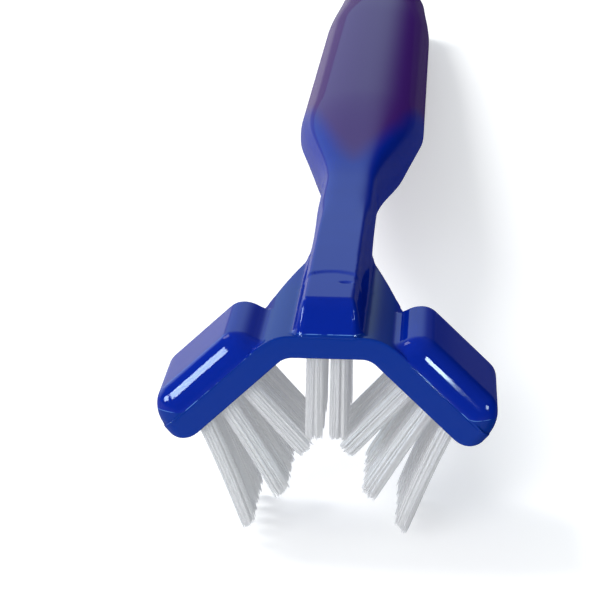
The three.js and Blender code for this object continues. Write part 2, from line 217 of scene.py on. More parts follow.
def half_plan(above, inset):
    """The right half of the head from above, in strip coordinates: its core, its wing and its web."""
    edge = strip_place(web_widths, above) - inset
    core = np.broadcast_arrays(edge[0] * across_core[:, None],
                               inset + (web_stations[0] - inset) * lengthwise[None, :])
    along = edge[0] + (WING_EDGE - inset - edge[0]) * across_wing
    corner_radius = HEAD_CORNER - inset
    into_corner = np.maximum(along - WING_EDGE + HEAD_CORNER, 0)
    corner = corner_radius - np.sqrt(np.maximum(corner_radius ** 2 - into_corner ** 2, 0))
    fillet_radius = WEB_FILLET + inset
    into_fillet = np.maximum(fillet_radius - along + edge[0], 0)
    fillet = fillet_radius - np.sqrt(np.maximum(fillet_radius ** 2 - into_fillet ** 2, 0))
    front = inset + corner
    rear = HEAD_LENGTH - inset - corner + fillet
    wing = np.broadcast_arrays(along[:, None],
                               front[:, None] + (rear - front)[:, None] * lengthwise[None, :])
    web = np.broadcast_arrays(edge[None, :] * across_core[:, None], web_stations[None, :])
    return core, wing, web


def plan_edge(plan):
    """The outline of a half plan as one path: front, wing tip, rear, and the side of the web."""
    return np.array([
        np.concatenate([core[:-1, 0], wing[:, 0], wing[-1, 1:], wing[-2::-1, -1], web[-1, 1:]])
        for core, wing, web in zip(*plan)])


face_plan = half_plan(0, EDGE_ROUND)
back_plan = half_plan(PLATE_THICKNESS, EDGE_ROUND)
sheets = [bent(along, face_height(along), y) for along, y in face_plan]
sheets += [bent(along, back_height(along, y), y) for along, y in back_plan]

# The edge all round: an arc out of the bristle face, a flat band with the parting line, and an arc into the
# plain back. The pads and the spine rise flush from the band.
low = plan_edge(face_plan)
low_out = plan_edge(half_plan(0, 0))
high = plan_edge(back_plan)
high_out = plan_edge(half_plan(PLATE_THICKNESS, 0))
on_crest = smooth_step(back_height(*high), PLATE_THICKNESS, PLATE_THICKNESS + EDGE_ROUND)

# Rows of the band, in widths of the parting line up from its middle. They stay some way from both arcs.
BAND_ROWS = (-40, -2, -1, 0, 1, 40)
LARGEST_MARGIN = 0.12


def rim_row(plan, height):
    """A row of the edge, in the order in which a place on the strip is given."""
    return [plan[0], height, plan[1]]


rows = []
ending = []
for angle in np.linspace(0, math.pi / 2, ROUND_STEPS + 1):
    out = math.sin(angle)
    turned_over = EDGE_ROUND * (1 - math.cos(angle))
    low_plan = low + out * (low_out - low)
    high_plan = high + out * (high_out - high)
    rows.append(rim_row(low_plan, face_height(low[0]) + turned_over))
    ending.append(rim_row(high_plan, back_height(*high_plan) - turned_over * (1 - on_crest)))
bottom = np.array(rows[-1])
top = np.array(ending[-1])
wall = top[1] - bottom[1]
margin = np.minimum(PARTING_WIDTH / wall, LARGEST_MARGIN)
for number, lift in enumerate(BAND_ROWS):
    share = (PARTING_HEIGHT + lift * PARTING_WIDTH - bottom[1]) / wall
    row = bottom + (top - bottom) * np.clip(share, margin, 1 - margin * (len(BAND_ROWS) - number))
    if lift == 0:
        row[::2] += (high - high_out) * on_crest * PARTING_DEPTH / EDGE_ROUND
    rows.append(row)
rows += ending[::-1]
rim = np.stack([bent(*row) for row in rows], axis=1)
sheets.append(rim)

# Neck and handle: the last section of the head, which turns into a loft of round-cornered sections
half_section = np.concatenate([sheets[2][:-1, -1], rim[-1], sheets[5][-2::-1, -1]])
section_run = np.concatenate([[0], np.cumsum(np.linalg.norm(np.diff(half_section, axis=0), axis=1))])
section_share = section_run / section_run[-1]
OUTLINE_POINTS = 721
SHORTEST_RUN = 1e-9


def handle_outline(y):
    """The right half of the handle's section, from the middle of its underside to the middle of its back."""
    swell = smooth_step(y, SHOULDER_START, SHOULDER_END)
    into_tail = max(0.0, y - BRUSH_LENGTH + TAIL_ROUND) / TAIL_ROUND
    close = (1 - TAIL_TAPER * smooth_step(y, TAIL_START, BRUSH_LENGTH)) * math.sqrt(1 - into_tail ** 2)
    neck_middle = SPINE_HEIGHT + NECK_STEP - NECK_THICKNESS / 2
    middle = neck_middle + swell * (GRIP_RISE - neck_middle)
    half_width = close * (NECK_WIDTH + swell * (GRIP_WIDTH - NECK_WIDTH)) / 2
    half_height = close * (NECK_THICKNESS + swell * (GRIP_THICKNESS - NECK_THICKNESS)) / 2
    power = 2 / (NECK_SQUARENESS + swell * (GRIP_SQUARENESS - NECK_SQUARENESS))
    angle = np.linspace(-math.pi / 2, math.pi / 2, OUTLINE_POINTS)
    x = half_width * np.abs(np.cos(angle)) ** power
    z = middle + half_height * np.sign(angle) * np.abs(np.sin(angle)) ** power
    run = np.concatenate([[0], np.cumsum(np.hypot(np.diff(x), np.diff(z)))])
    share = run / max(run[-1], SHORTEST_RUN)
    return np.stack([np.interp(section_share, share, x), np.full_like(section_share, y),
                     np.interp(section_share, share, z)], axis=1)


NECK_STATIONS = 24
SHOULDER_STATIONS = 32
GRIP_STATIONS = 34
TAIL_STATIONS = 16
tail_end = BRUSH_LENGTH - TAIL_ROUND
stations = np.concatenate([np.linspace(WEB_END, SHOULDER_START, NECK_STATIONS)[:-1],
                           np.linspace(SHOULDER_START, SHOULDER_END, SHOULDER_STATIONS)[:-1],
                           np.linspace(SHOULDER_END, tail_end, GRIP_STATIONS)[:-1],
                           tail_end + TAIL_ROUND * np.sin(np.linspace(0, math.pi / 2, TAIL_STATIONS))])
loft = []
for y in stations:
    round_share = smooth_step(y, WEB_END, WEB_END + NECK_BLEND)
    straight = half_section * (1, 0, 1) + (0, y, 0)
    loft.append(straight + round_share * (handle_outline(y) - straight))
sheets.append(np.stack(loft, axis=1))

# Small marks of the mould on the spine: a sink mark beside the gate, and a ragged line of flash on one edge
GATE_PLACE = (1.1, 6.15)
GATE_RADIUS = 0.42
GATE_STRETCH = 1.6
GATE_DEPTH = 0.16
FLASH_HEIGHT = 0.05
FLASH_WIDTH = 0.09
FLASH_START = 3.0
FLASH_END = 15.5
FLASH_FADE = 2.0
FLASH_SWAY = 0.05
FLASH_MEAN = 0.6
FLASH_CHANGE = 0.25
# Each wave's size, its turn to the millimetre, and its start
FLASH_WAVES = ((1.0, 3.1, 0), (0.7, 7.3, 1), (0.5, 13.7, 2))


def mould_marks(points):
    """The body's points with the sink mark pressed in and the flash raised."""
    x, y, z = points.T
    on_spine = z > (PLATE_THICKNESS + SPINE_HEIGHT) / 2
    from_gate = np.hypot((x - GATE_PLACE[0]) / GATE_STRETCH, y - GATE_PLACE[1]) / GATE_RADIUS
    sink = GATE_DEPTH * np.clip(1 - from_gate ** 2, 0, 1) ** 2
    wave = sum(size * np.sin(y * pace + start) for size, pace, start in FLASH_WAVES)
    line = SPINE_WIDTH / 2 - SPINE_SIDE_ROUND + FLASH_SWAY * wave
    reach = smooth_step(y, FLASH_START, FLASH_START + FLASH_FADE)
    reach = reach * (1 - smooth_step(y, FLASH_END - FLASH_FADE, FLASH_END))
    ridge = np.exp(-((x - line) / FLASH_WIDTH) ** 2) * (FLASH_MEAN + FLASH_CHANGE * wave)
    return points + np.stack([0 * x, 0 * x, on_spine * (FLASH_HEIGHT * reach * ridge - sink)], axis=1)


def joined_sheets(parts):
    """Points and faces of a list of point grids and their mirror images, in brush coordinates."""
    points = []
    faces = []
    base = 0
    for mirror in (1, -1):
        for grid in parts:
            rows_count, columns_count = grid.shape[:2]
            index = base + np.arange(rows_count * columns_count).reshape(rows_count, columns_count)
            corners = (index[:-1, :-1], index[1:, :-1], index[1:, 1:], index[:-1, 1:])
            points.append(grid.reshape(-1, 3) * (mirror, 1, 1))
            faces.append(np.stack(corners, -1).reshape(-1, 4))
            base += rows_count * columns_count
    return np.concatenate(points), np.concatenate(faces)


WELD_DISTANCE = 0.0004
SLIVER_WIDTH = 0.0002
points, faces = joined_sheets(sheets)
body_mesh = bpy.data.meshes.new("brush_moulding")
body_mesh.from_pydata(laid_down(mould_marks(points)), [], faces.tolist())
shell = bmesh.new()
shell.from_mesh(body_mesh)
bmesh.ops.remove_doubles(shell, verts=shell.verts, dist=WELD_DISTANCE * MM)
bmesh.ops.dissolve_degenerate(shell, edges=shell.edges, dist=SLIVER_WIDTH * MM)
bmesh.ops.recalc_face_normals(shell, faces=shell.faces)
shell.to_mesh(body_mesh)
shell.free()
body = bpy.data.objects.new("brush_moulding", body_mesh)
bpy.context.scene.collection.objects.link(body)


class Wire:
    """A node's output that takes part in sums: an operator on it adds the Math node that it stands for."""

    def __init__(self, tree, socket=None):
        self.tree = tree
        self.socket = socket

    def node(self, kind, settings=None, take=None, **values):
        """Adds a node. Its settings are set first, then its sockets, and one output or several are taken."""
        made = self.tree.nodes.new(kind)
        for name, value in (settings or {}).items():
            setattr(made, name, value)
        for name, value in values.items():
            self.feed(self.find(made.inputs, name), value)
        if isinstance(take, tuple):
            return [Wire(self.tree, self.find(made.outputs, name)) for name in take]
        if take:
            return Wire(self.tree, self.find(made.outputs, take))
        return Wire(self.tree, next((socket for socket in made.outputs if socket.enabled), None))

    def find(self, sockets, name):
        """A socket by its name in small letters, or by its identifier where two have one name."""
        return next(socket for socket in sockets if socket.enabled
                    and name in (socket.name.replace(" ", "_").lower(), socket.identifier.lower()))

    def feed(self, socket, value):
        if isinstance(value, Wire):
            self.tree.links.new(value.socket, socket)
        else:
            socket.default_value = value

    def maths(self, operation, first, second):
        """Adds a Math node, or a Vector Math node where a vector takes part."""
        settings = {"operation": operation}
        wired = [value for value in (first, second) if isinstance(value, Wire)]
        if any(value.socket.type == "VECTOR" for value in wired):
            return self.node("ShaderNodeVectorMath", settings, vector=first, vector_001=second)
        return self.node("ShaderNodeMath", settings, value=first, value_001=second)

    def __add__(self, other):
        return self.maths("ADD", self, other)

    def __radd__(self, other):
        return self.maths("ADD", other, self)

    def __sub__(self, other):
        return self.maths("SUBTRACT", self, other)

    def __rsub__(self, other):
        return self.maths("SUBTRACT", other, self)

    def __mul__(self, other):
        if self.socket.type == "VECTOR":
            return self.node("ShaderNodeVectorMath", {"operation": "SCALE"}, vector=self, scale=other)
        return self.maths("MULTIPLY", self, other)

    def __rmul__(self, other):
        return self * other

    def __truediv__(self, other):
        return self.maths("DIVIDE", self, other)

    def __rtruediv__(self, other):
        return self.maths("DIVIDE", other, self)

    def __pow__(self, other):
        return self.maths("POWER", self, other)

    def __rpow__(self, other):
        return self.maths("POWER", other, self)


def ramp(value, low, high):
    """The smooth rise from 0 to 1 between two values, as a node."""
    return value.node("ShaderNodeMapRange", {"interpolation_type": "SMOOTHSTEP"}, value=value,
                      from_min=low, from_max=high)


def blend(share, first, second):
    """A colour between two."""
    return share.node("ShaderNodeMix", {"data_type": "RGBA"}, factor=share, a=first, b=second, take="result")


def size_of(value):
    """A value without its sign."""
    return value.node("ShaderNodeMath", {"operation": "ABSOLUTE"}, value=value)


def noise(place, scale, detail):
    """Soft noise about a half."""
    return place.node("ShaderNodeTexNoise", vector=place, scale=scale, detail=detail, take="fac")


def new_material(name):
    """An empty material, and a wire that adds nodes to it."""
    material = bpy.data.materials.new(name)
    material.use_nodes = True
    material.node_tree.nodes.clear()
    return material, Wire(material.node_tree)


# The colours, with their places in metres: mottled blue, and violet in a tongue that points to the head
BLUE = (0.0005, 0.016, 0.262, 1)
DEEP_BLUE = (0.0003, 0.012, 0.228, 1)
VIOLET = (0.042, 0.009, 0.13, 1)
FLOW_SCALE = 180.0
FADE_TIP = 0.058
FADE_SIDE = 0.031
FADE_POWER = 0.7
FADE_SOFT = 0.006
FADE_DRIFT = 0.006
DRIFT_SCALE = 70.0
HALF_GRIP = 0.006

moulding, wires = new_material("blue_to_violet_moulding")
place = wires.node("ShaderNodeTexCoord", take="object")
upright = wires.node("ShaderNodeMapping", {"vector_type": "POINT"}, vector=place, rotation=(tilt, 0, 0),
                     location=-(turn.inverted() @ shift))
across, up_handle, height = wires.node("ShaderNodeSeparateXYZ", vector=upright, take=("x", "y", "z"))
flow = noise(upright, FLOW_SCALE, detail=3.0)
blue = blend(flow, DEEP_BLUE, BLUE)
tongue = up_handle - FADE_TIP - FADE_SIDE * ((across / HALF_GRIP) ** 2) ** FADE_POWER
drift = (noise(place, DRIFT_SCALE, detail=2.0) - 0.5) * FADE_DRIFT
faded = ramp(tongue + drift, -FADE_SOFT, FADE_SOFT)

# Painted light: below the parting line the plate's band is painted a lighter, greener blue, for how light
# falls on its face. A ragged pale line along the parting line is partly the mould's witness and partly a
# painted highlight on its fine edge, and both turn up round the wing tips.
PAINTED_BAND_LIGHT_BLUE = (0.0008, 0.023, 0.215, 1)
WITNESS_AND_HIGHLIGHT_BLUE = (0.07, 0.18, 0.5, 1)
TIP_LIFT = 1.6
TIP_REACH = 2.3
# Limits in metres, up the handle and off the line
HEAD_FADE = (0.014, 0.024)
PAINTED_BAND_LIGHT_FADE = (-0.00006, 0.00004)
WITNESS_AND_HIGHLIGHT_FADE = (0.00001, 0.00005)
# Limits of the noise that breaks the line up, and of how far upward a face looks
RAGGED_SCALE = 700.0
RAGGED_FADE = (0.47, 0.58)
UPWARD_FADE = (0.2, 0.5)

out_from_bend = size_of(across) - CROWN_WIDTH / 2 * MM
above_wing = height * math.cos(WING_ANGLE) + out_from_bend * math.sin(WING_ANGLE)
above_face = wires.maths("MAXIMUM", height, above_wing)
along_wing = out_from_bend * math.cos(WING_ANGLE) - height * math.sin(WING_ANGLE)
lifted = TIP_LIFT * MM * ramp(along_wing, (WING_LENGTH - TIP_REACH) * MM, WING_LENGTH * MM)
off_parting = above_face - PARTING_HEIGHT * MM - lifted
in_head = 1 - ramp(up_handle, *HEAD_FADE)
# Painted light: the band below the parting line is painted a lighter, greener blue.
painted_band_light = in_head * (1 - ramp(off_parting, *PAINTED_BAND_LIGHT_FADE))
upward = wires.node("ShaderNodeAttribute", {"attribute_name": "upward"}, take="fac")
ragged = ramp(noise(place, RAGGED_SCALE, detail=4.0), *RAGGED_FADE)
# A pale ragged line on the parting line: partly the mould's witness, partly a painted highlight.
witness_and_highlight = in_head * (1 - ramp(size_of(off_parting), *WITNESS_AND_HIGHLIGHT_FADE))
witness_and_highlight = witness_and_highlight * ragged * (1 - ramp(upward, *UPWARD_FADE))
blue = blend(witness_and_highlight, blend(painted_band_light, blue, PAINTED_BAND_LIGHT_BLUE), WITNESS_AND_HIGHLIGHT_BLUE)

# The skin: polished, with fine scuffs along the brush. It has a little less gloss on the handle and on steep
# walls to the left, and is satin on the slopes to the right.
GLOSS = 0.28
HANDLE_LOSS = 0.06
HANDLE_FADE = (0.02, 0.07)
LEFT_SATIN = 0.25
LEFT_FADE = (0.75, 0.96)
RIGHT_SATIN = 0.88
RIGHT_FADE = (0.3, 0.72)
RIGHT_HANDLE_SHIFT = 0.2
COAT_ROUGHNESS = 0.045
COAT_IOR = 1.4
PLAIN_ROUGHNESS = 0.3
SCUFF_ROUGHNESS = 0.1
FLOW_ROUGHNESS = 0.05
SCUFF_SCALE = (6000.0, 300.0, 6000.0)
SCUFF_RELIEF = 0.25
PEEL_SCALE = 1400.0
PEEL_STRENGTH = 0.05
PEEL_HEIGHT = 0.0001

scuffs = noise(wires.node("ShaderNodeMapping", vector=upright, scale=SCUFF_SCALE), scale=1.0, detail=4.0)
relief = noise(place, PEEL_SCALE, detail=2.0) + scuffs * SCUFF_RELIEF
skin = wires.node("ShaderNodeBump", height=relief, strength=PEEL_STRENGTH, distance=PEEL_HEIGHT)
handle = ramp(up_handle, *HANDLE_FADE)
sideways = wires.node("ShaderNodeAttribute", {"attribute_name": "sideways"}, take="fac")
left_wall = ramp(sideways * -1.0, *LEFT_FADE)
right_wall = ramp(sideways + RIGHT_HANDLE_SHIFT * handle, *RIGHT_FADE)
gloss = (GLOSS - HANDLE_LOSS * handle) * (1 - LEFT_SATIN * left_wall) * (1 - RIGHT_SATIN * right_wall)
finish = wires.node("ShaderNodeBsdfPrincipled", base_color=blend(faded, blue, VIOLET),
                    roughness=PLAIN_ROUGHNESS + scuffs * SCUFF_ROUGHNESS + flow * FLOW_ROUGHNESS,
                    specular_ior_level=0.0, coat_weight=gloss, coat_roughness=COAT_ROUGHNESS,
                    coat_ior=COAT_IOR, normal=skin)
wires.node("ShaderNodeOutputMaterial", surface=finish)

# Tuft seats: each blind hole's mouth, the way into the plate, the way across the facet, and the tuft's tip
ROWS = 5
ROW_PITCH = 2.4
CROWN_COLUMN = 0.92
CROWN_TIP_DROP = 6.8
COLUMN_MARGIN = 2.75
COLUMN_PITCH = 2.0
# From the inner column to the outer one: the tip's distance from the middle, and its drop below the crown
WING_TIPS = ((1.35, 7.75), (3.1, 11.2), (5.7, 13.9))
HOLE_WIDTH = 1.6
HOLE_DEPTH = 3.0
HOLE_SIDES = 24
SHARP_ANGLE = math.radians(38)
FACETS = {"left": -1, "crown": 0, "right": 1}

seats = {"facet": [], "mouth": [], "inward": [], "across": [], "tip": []}
for side in FACETS.values():
    angle = side * WING_ANGLE
    outward = Vector((math.cos(angle), 0, -math.sin(angle)))
    inward = Vector((math.sin(angle), 0, math.cos(angle)))
    columns = [(half * CROWN_COLUMN, half * CROWN_COLUMN, CROWN_TIP_DROP) for half in (-1, 1)]
    if side:
        feet = [WING_LENGTH - COLUMN_MARGIN - COLUMN_PITCH * pitches for pitches in (2, 1, 0)]
        columns = [(side * foot, side * tip_out, drop) for foot, (tip_out, drop) in zip(feet, WING_TIPS)]
    for foot, tip_out, drop in columns:
        for row in range(ROWS):
            y = HEAD_LENGTH / 2 + (row - (ROWS - 1) / 2) * ROW_PITCH
            seats["facet"].append(side)
            seats["mouth"].append(Vector((side * CROWN_WIDTH / 2, y, 0)) + foot * outward)
            seats["inward"].append(turn @ inward)
            seats["across"].append(turn @ outward)
            seats["tip"].append((tip_out, y, -drop))

seat_mesh = bpy.data.meshes.new("tuft_seats")
seat_mesh.from_pydata(laid_down(seats["mouth"]), [], [])
seats["tip"] = laid_down(seats["tip"])
for name in ("inward", "across", "tip"):
    vectors = seat_mesh.attributes.new(name, "FLOAT_VECTOR", "POINT")
    vectors.data.foreach_set("vector", np.array(seats[name]).ravel())
seat_mesh.attributes.new("facet", "INT", "POINT").data.foreach_set("value", seats["facet"])
seat_marker = bpy.data.objects.new("tuft_seats", seat_mesh)
bpy.context.scene.collection.objects.link(seat_marker)


def node_tree(name, inputs):
    """An empty Geometry Nodes tree with named inputs, and its wires by name."""
    tree = bpy.data.node_groups.new(name, "GeometryNodeTree")
    tree.interface.new_socket("Geometry", in_out="OUTPUT", socket_type="NodeSocketGeometry")
    for title, kind in [("Geometry", "NodeSocketGeometry"), *inputs]:
        tree.interface.new_socket(title, in_out="INPUT", socket_type=kind)
    entry = Wire(tree).node("NodeGroupInput").socket.node
    return tree, {socket.name: Wire(tree, socket) for socket in entry.outputs if socket.name}


def shaped(piece, tree, values):
    """Gives a piece the tree's result as a plain mesh, with the tree's inputs set first."""
    modifier = piece.modifiers.new(tree.name, "NODES")
    modifier.node_group = tree
    for item in tree.interface.items_tree:
        if item.in_out == "INPUT" and item.name in values:
            modifier[item.identifier] = values[item.name]
    made = bpy.data.meshes.new_from_object(piece.evaluated_get(bpy.context.evaluated_depsgraph_get()))
    piece.modifiers.remove(modifier)
    piece.data = made
    made.name = piece.name


def attribute(name, kind="FLOAT_VECTOR"):
    """A named attribute, in the tree that is being built."""
    return wires.node("GeometryNodeInputNamedAttribute", {"data_type": kind}, name=name, take="attribute")


def kept(geometry, name, kind, value):
    """The geometry with a value kept on its points under a name."""
    return geometry.node("GeometryNodeStoreNamedAttribute", {"data_type": kind, "domain": "POINT"},
                         geometry=geometry, name=name, value=value)


def painted(geometry, material):
    """The finished geometry as the tree's result, in its material."""
    real = geometry.node("GeometryNodeRealizeInstances", geometry=geometry)
    result = real.node("GeometryNodeSetMaterial", geometry=real, material=material)
    return result.node("NodeGroupOutput", geometry=result)


# Blind holes, each cut by a drill whose middle lies in the bristle face, and the way that each point faces
hole_tree, start = node_tree("tuft_holes", [("Seats", "NodeSocketObject"), ("Hole width", "NodeSocketFloat"),
                                            ("Hole depth", "NodeSocketFloat")])
wires = start["Geometry"]
drill = wires.node("GeometryNodeMeshCylinder", vertices=HOLE_SIDES, radius=start["Hole width"] * 0.5,
                   depth=start["Hole depth"] * 2.0)
where = wires.node("GeometryNodeObjectInfo", object=start["Seats"], take="geometry")
stand = wires.node("FunctionNodeAlignRotationToVector", {"axis": "Z"}, vector=attribute("inward"))
drills = wires.node("GeometryNodeInstanceOnPoints", points=where, instance=drill, rotation=stand)
marked = wires.node("GeometryNodeMeshBoolean", {"operation": "DIFFERENCE", "solver": "EXACT"}, mesh_1=wires,
                    mesh_2=wires.node("GeometryNodeRealizeInstances", geometry=drills))
facing = wires.node("ShaderNodeSeparateXYZ", vector=wires.node("GeometryNodeInputNormal"), take=("x", "z"))
for name, amount in zip(("sideways", "upward"), facing):
    marked = kept(marked, name, "FLOAT", amount)
painted(marked, moulding)
shaped(body, hole_tree, {"Seats": seat_marker, "Hole width": HOLE_WIDTH * MM, "Hole depth": HOLE_DEPTH * MM})
body.data.shade_smooth()
body.data.set_sharp_from_angle(angle=SHARP_ANGLE)
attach(body, "root")
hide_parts("brush_body")

# The anchors
# Forty small plates of flattened nickel-silver wire. Each is driven across a fold of filaments into a blind
# hole, bites the plastic on both sides and stays in the hole, out of sight.

NICKEL_SILVER = (0.62, 0.55, 0.4, 1)
DRAWN_DARK = (0.45, 0.39, 0.28, 1)
DRAWN_SCALE = (9000.0, 900.0, 9000.0)
DRAWN_STRENGTH = 0.2
DRAWN_HEIGHT = 0.00005
DRAWN_ROUGHNESS = 0.15
METAL_ROUGHNESS = 0.25

anchor_metal, wires = new_material("drawn_nickel_silver")
place = wires.node("ShaderNodeTexCoord", take="object")
drawn = noise(wires.node("ShaderNodeMapping", vector=place, scale=DRAWN_SCALE), scale=1.0, detail=3.0)
lines = wires.node("ShaderNodeBump", height=drawn, strength=DRAWN_STRENGTH, distance=DRAWN_HEIGHT)
finish = wires.node("ShaderNodeBsdfPrincipled", base_color=blend(drawn, DRAWN_DARK, NICKEL_SILVER),
                    metallic=1.0, roughness=METAL_ROUGHNESS + drawn * DRAWN_ROUGHNESS, normal=lines)
wires.node("ShaderNodeOutputMaterial", surface=finish)
for name, node in frame["nodes"].items():
    if name.startswith("anchor_"):
        node.data.materials.clear()
        node.data.materials.append(anchor_metal)

# The tufts
# Bundles of clear nylon filament, folded over their anchors and cut to length. They lean in from both wings
# and meet below the crown's two short columns, so that all three sides brush at once.

FILAMENTS_PER_TUFT = 60
FILAMENT_WIDTH = 0.19
FILAMENT_SIDES = 5
JOINTS = 8
JOINT_CROWDING = 1.6
TUFT_WIDTH = 1.42
TUFT_SPLAY = 1.02
TIP_STRAY = 0.09
TURN_STRAY = 0.3
LENGTH_STRAY = 0.03
CUT_SHARE = 0.985
ROOT_DEPTH = 1.0
LEAN_REACH = 0.3
KNEE_SPREAD = 1.04
KNEE_SAG = 0.02
# A filament's end closes over the last part of its reach, and keeps a trace of width.
END_REACH = 1.002
END_TAPER = 14.0
# Filaments are numbered on from tuft to tuft in steps of this size. Each draw by lot has its own number.
NUMBER_STEP = 1000.0
SEED = 7
TURN_DRAW = 1
ACROSS_DRAW = 2
LENGTHWISE_DRAW = 3
CUT_DRAW = 4
TONE_DRAW = 5
GOLDEN_ANGLE = math.pi * (3 - math.sqrt(5))

# Clear nylon lets light through. The filaments glow a little: painted light that lifts their shaded sides.
NYLON = (0.72, 0.725, 0.735, 1)
NYLON_GREY = (0.64, 0.65, 0.67, 1)
PAINTED_SHADE_ROOT_TONE = 0.7
NYLON_ROUGHNESS = 0.22
GRAIN_ROUGHNESS = 0.15
GRAIN_SCALE = 2200.0
NYLON_IOR = 1.53
NYLON_COVER = 0.6
NYLON_PAINTED_GLOW = 0.38
PASSED_LIGHT = 0.45

nylon, wires = new_material("clear_nylon_filament")
tone = wires.node("ShaderNodeAttribute", {"attribute_name": "tone"}, take="fac")
reach = wires.node("ShaderNodeAttribute", {"attribute_name": "reach"}, take="fac")
# Towards their roots, under the head, the filaments are painted greyer as painted shade.
tint = blend(tone * (PAINTED_SHADE_ROOT_TONE + (1 - PAINTED_SHADE_ROOT_TONE) * reach), NYLON_GREY, NYLON)
grain = noise(wires.node("ShaderNodeTexCoord", take="object"), GRAIN_SCALE, detail=2.0)
# The emission is painted light, a glow that lifts the filaments' shaded sides.
finish = wires.node("ShaderNodeBsdfPrincipled", base_color=tint, ior=NYLON_IOR, alpha=NYLON_COVER,
                    roughness=NYLON_ROUGHNESS + GRAIN_ROUGHNESS * grain, emission_color=tint,
                    emission_strength=NYLON_PAINTED_GLOW)
passed = wires.node("ShaderNodeBsdfTranslucent", color=NYLON)
both = wires.node("ShaderNodeMixShader", fac=PASSED_LIGHT, shader=finish, shader_001=passed)
wires.node("ShaderNodeOutputMaterial", surface=both)

tuft_tree, start = node_tree("nylon_tufts", [
    ("Facet", "NodeSocketInt"), ("Filaments", "NodeSocketInt"), ("Joints", "NodeSocketInt"),
    ("Tuft width", "NodeSocketFloat"), ("Filament width", "NodeSocketFloat"), ("Splay", "NodeSocketFloat"),
    ("Tip stray", "NodeSocketFloat"), ("Length stray", "NodeSocketFloat"), ("Root depth", "NodeSocketFloat"),
    ("Lean reach", "NodeSocketFloat"), ("Seed", "NodeSocketInt")])
wires = start["Geometry"]


def copies(points, count):
    """So many copies of each point, and each copy's number."""
    return points.node("GeometryNodeDuplicateElements", {"domain": "POINT"}, geometry=points, amount=count,
                       take=("geometry", "duplicate_index"))


def drawn_lot(low, high, draw):
    """A number drawn by lot for each filament."""
    return wires.node("FunctionNodeRandomValue", {"data_type": "FLOAT"}, min=low, max=high,
                      id=attribute("filament", "INT"), seed=start["Seed"] + draw)


# Points for every tuft of one facet, then for every filament, then for every joint along it
own_facet = wires.node("FunctionNodeCompare", {"data_type": "INT", "operation": "EQUAL"},
                       a=attribute("facet", "INT"), b=start["Facet"])
tufts = wires.node("GeometryNodeMeshToPoints", mesh=wires, selection=own_facet)
tufts = kept(tufts, "mouth", "FLOAT_VECTOR", wires.node("GeometryNodeInputPosition"))
tufts = kept(tufts, "tuft", "INT", wires.node("GeometryNodeInputIndex"))
strands, strand_number = copies(tufts, start["Filaments"])
strands = kept(strands, "spot", "INT", strand_number)
strands = kept(strands, "filament", "INT", attribute("tuft", "INT") * NUMBER_STEP + attribute("spot", "INT"))
strands, joint_number = copies(strands, start["Joints"])
joint_share = joint_number / (start["Joints"] - 1.0)
strands = kept(strands, "reach", "FLOAT", 1 - (1 - joint_share) ** JOINT_CROWDING)
strands = kept(strands, "tone", "FLOAT", drawn_lot(0.0, 1.0, TONE_DRAW))

# Each filament's place in its tuft, and its path from the root past a knee near the mouth to its own end
spot = attribute("spot", "INT")
turned = spot * GOLDEN_ANGLE + drawn_lot(-TURN_STRAY, TURN_STRAY, TURN_DRAW)
spread = ((spot + 0.5) / start["Filaments"]) ** 0.5 * (start["Tuft width"] - start["Filament width"]) * 0.5
along_face = wires.node("ShaderNodeVectorMath", {"operation": "CROSS_PRODUCT"}, vector=attribute("inward"),
                        vector_001=attribute("across"))
offset = attribute("across") * (wires.node("ShaderNodeMath", {"operation": "COSINE"}, value=turned) * spread)
offset = offset + along_face * (wires.node("ShaderNodeMath", {"operation": "SINE"}, value=turned) * spread)
root = attribute("mouth") + offset + attribute("inward") * start["Root depth"]
stray = attribute("across") * (drawn_lot(-1.0, 1.0, ACROSS_DRAW) * start["Tip stray"])
stray = stray + along_face * (drawn_lot(-1.0, 1.0, LENGTHWISE_DRAW) * start["Tip stray"])
run = attribute("tip") - attribute("mouth")
cut = CUT_SHARE - drawn_lot(0.0, 1.0, CUT_DRAW) * start["Length stray"]
end = attribute("mouth") + run * cut + offset * start["Splay"] + stray
length = wires.node("ShaderNodeVectorMath", {"operation": "LENGTH"}, vector=run, take="value")
knee = attribute("mouth") + offset * KNEE_SPREAD + run * start["Lean reach"]
knee = knee - attribute("inward") * (length * KNEE_SAG)
share = attribute("reach", "FLOAT")
path = root * ((1 - share) * (1 - share)) + knee * (2 * share * (1 - share)) + end * (share * share)
strands = wires.node("GeometryNodeSetPosition", geometry=strands, position=path)
curves = wires.node("GeometryNodePointsToCurves", points=strands, weight=share,
                    curve_group_id=attribute("filament", "INT"))
closing = wires.node("ShaderNodeClamp", value=(END_REACH - share) * END_TAPER)
width_share = wires.node("ShaderNodeMath", {"operation": "SQRT"}, value=closing)
profile = wires.node("GeometryNodeCurvePrimitiveCircle", resolution=FILAMENT_SIDES,
                     radius=start["Filament width"] * 0.5)
tubes = wires.node("GeometryNodeCurveToMesh", curve=curves, profile_curve=profile, scale=width_share,
                   fill_caps=True)
painted(wires.node("GeometryNodeSetShadeSmooth", geometry=tubes), nylon)

for facet, side in FACETS.items():
    tuft = bpy.data.objects.new(f"{facet}_tufts", seat_mesh.copy())
    bpy.context.scene.collection.objects.link(tuft)
    shaped(tuft, tuft_tree, {"Facet": side, "Filaments": FILAMENTS_PER_TUFT, "Joints": JOINTS,
                             "Tuft width": TUFT_WIDTH * MM, "Filament width": FILAMENT_WIDTH * MM,
                             "Splay": TUFT_SPLAY, "Tip stray": TIP_STRAY * MM, "Length stray": LENGTH_STRAY,
                             "Root depth": ROOT_DEPTH * MM, "Lean reach": LEAN_REACH, "Seed": SEED + side})
    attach(tuft, "root")
    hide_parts(f"{facet}_bristles")
bpy.data.objects.remove(seat_marker)

